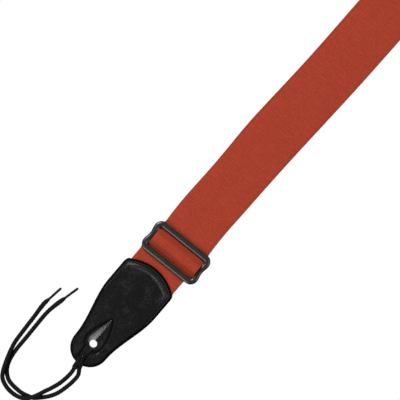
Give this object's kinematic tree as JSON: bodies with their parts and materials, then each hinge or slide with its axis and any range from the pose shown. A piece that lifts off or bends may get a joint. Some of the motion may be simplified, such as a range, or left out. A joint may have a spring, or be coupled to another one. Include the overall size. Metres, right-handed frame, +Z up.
{
  "type": "guitar strap",
  "caption": "Adjustable guitar strap: flat woven webbing threaded through a three-bar slider, with a leather button tab at each end, an end ring and a tie lace.",
  "frame": {"origin": "middle of the strap's length and width, on the plane it lies on, at its shortest setting and without the lace", "axes": "+X along the strap from the lace tab to the ring tab, +Y across the webbing, +Z up from the plane the strap lies on"},
  "size_m": [0.9647, 0.0928, 0.0105],
  "materials": {
    "black_leather": "black grained leather, semi-gloss, slightly worn edges",
    "red_webbing": "brick-red woven webbing with fine ribs across its width",
    "black_gloss_plastic": "glossy black moulded plastic",
    "black_braided_lace": "black braided round lace",
    "black_thread": "black sewing thread",
    "black_aglet": "black plastic lace tip"
  },
  "bodies": {
    "lace_end": {"lace_tab_front": "black_leather", "lace_tab_back": "black_leather", "lace_tab_seam": "black_thread", "webbing_tab_run": "red_webbing", "tie_lace_hitch": "black_braided_lace", "tie_lace_a": "black_braided_lace", "tie_lace_b": "black_braided_lace", "aglet_a": "black_aglet", "aglet_b": "black_aglet"},
    "slider": {"slider": "black_gloss_plastic", "flap_seam": "black_thread"},
    "loop": {"webbing_long_loop": "red_webbing"},
    "ring": {"end_ring": "black_gloss_plastic"},
    "ring_tab": {"ring_webbing": "red_webbing", "ring_tab_front": "black_leather", "ring_tab_back": "black_leather", "ring_tab_seam": "black_thread"}
  },
  "joints": [
    {"name": "slider_travel", "type": "slide", "parent": "lace_end", "child": "slider", "axis": [1, 0, 0], "range_m": [0, 0.9], "deforming": ["webbing_tab_run"]},
    {"name": "loop_shortening", "type": "slide", "parent": "slider", "child": "loop", "axis": [1, 0, 0], "range_m": [-0.45, 0], "deforming": ["webbing_long_loop"]},
    {"name": "ring_swing", "type": "hinge", "parent": "loop", "child": "ring", "pos_m": [0.3045, 0, 0.0037], "axis": [0, -1, 0], "range_deg": [-90, 90]},
    {"name": "ring_tab_swing", "type": "hinge", "parent": "ring", "child": "ring_tab", "pos_m": [0.3225, 0, 0.0037], "axis": [0, -1, 0], "range_deg": [-90, 90]}
  ],
  "couplings": [
    {"joint": "loop_shortening", "follows": "slider_travel", "ratio": -0.5}
  ]
}
